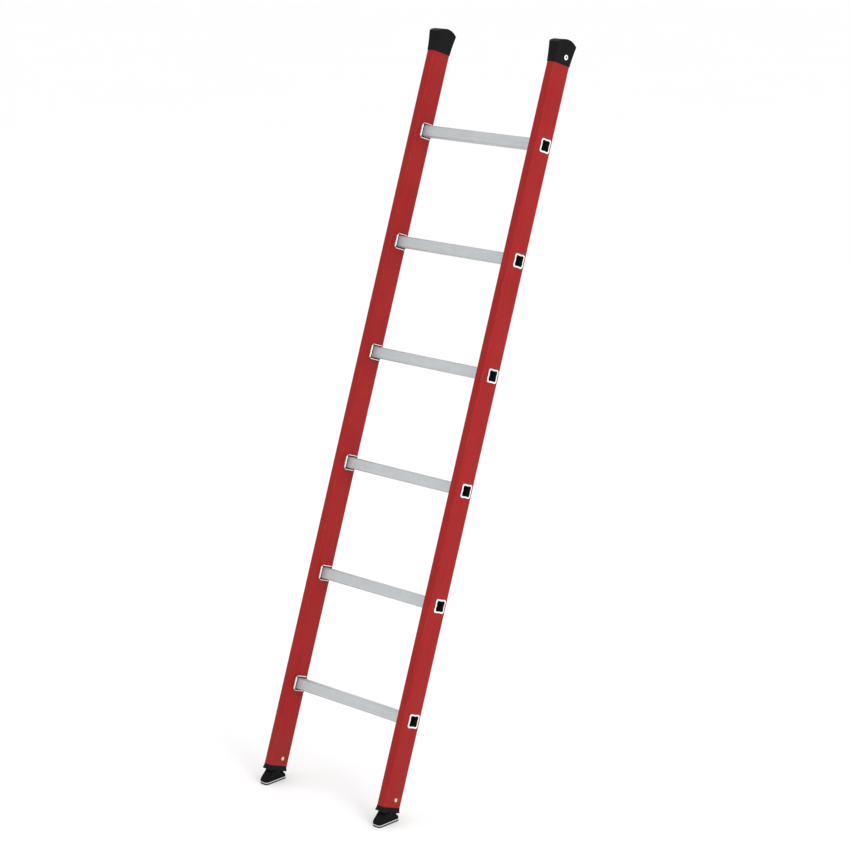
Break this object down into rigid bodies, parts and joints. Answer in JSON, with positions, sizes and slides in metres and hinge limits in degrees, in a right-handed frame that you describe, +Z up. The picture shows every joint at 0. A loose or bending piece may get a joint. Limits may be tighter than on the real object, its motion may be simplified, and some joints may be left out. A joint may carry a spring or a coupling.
{
  "type": "single-section leaning ladder",
  "caption": "Single-section leaning ladder: glass-fibre box stiles, square aluminium rungs, black head caps and tilting rubber-soled feet.",
  "frame": {"origin": "on the floor, under the middle of the ladder's plan box; the ladder stands on its shoes at 70 degrees to the floor", "axes": "+X to the climber's right along the rungs, +Y towards the wall, +Z up; the stiles rise along (0, cos 70, sin 70)"},
  "size_m": [0.4296, 0.7108, 1.7965],
  "materials": {
    "glass_fibre": "red glass-fibre pultrusion, satin, fine lengthwise fibre",
    "rung_aluminium": "extruded mill-finish aluminium, fine lengthwise die lines",
    "bright_aluminium": "pressed bright aluminium",
    "black_plastic": "moulded black polymer, fine spark texture",
    "brass_rivet": "pale brass-toned rivet",
    "dark_steel": "blackened steel",
    "grey_plastic": "pale grey moulded polymer",
    "black_rubber": "matt black rubber"
  },
  "bodies": {
    "ladder": {"stile_left": "glass_fibre", "stile_right": "glass_fibre", "rung_1": "rung_aluminium", "rung_2": "rung_aluminium", "rung_3": "rung_aluminium", "rung_4": "rung_aluminium", "rung_5": "rung_aluminium", "rung_6": "rung_aluminium", "rung_collar_left_1": "bright_aluminium", "rung_collar_left_2": "bright_aluminium", "rung_collar_left_3": "bright_aluminium", "rung_collar_left_4": "bright_aluminium", "rung_collar_left_5": "bright_aluminium", "rung_collar_left_6": "bright_aluminium", "rung_collar_right_1": "bright_aluminium", "rung_collar_right_2": "bright_aluminium", "rung_collar_right_3": "bright_aluminium", "rung_collar_right_4": "bright_aluminium", "rung_collar_right_5": "bright_aluminium", "rung_collar_right_6": "bright_aluminium", "head_cap_left": "black_plastic", "cap_rivet_left": "bright_aluminium", "foot_plug_left": "black_plastic", "foot_rivet_left": "brass_rivet", "ankle_pin_left": "dark_steel", "head_cap_right": "black_plastic", "cap_rivet_right": "bright_aluminium", "foot_plug_right": "black_plastic", "foot_rivet_right": "brass_rivet", "ankle_pin_right": "dark_steel"},
    "foot_left": {"shoe_left": "black_plastic", "sole_plate_left": "grey_plastic", "tread_left": "black_rubber"},
    "foot_right": {"shoe_right": "black_plastic", "sole_plate_right": "grey_plastic", "tread_right": "black_rubber"}
  },
  "joints": [
    {"name": "ankle_left", "type": "hinge", "parent": "ladder", "child": "foot_left", "pos_m": [-0.198, -0.3146, 0.0232], "axis": [1, 0, 0], "range_deg": [-7, 7]},
    {"name": "ankle_right", "type": "hinge", "parent": "ladder", "child": "foot_right", "pos_m": [0.198, -0.3146, 0.0232], "axis": [1, 0, 0], "range_deg": [-7, 7]}
  ]
}
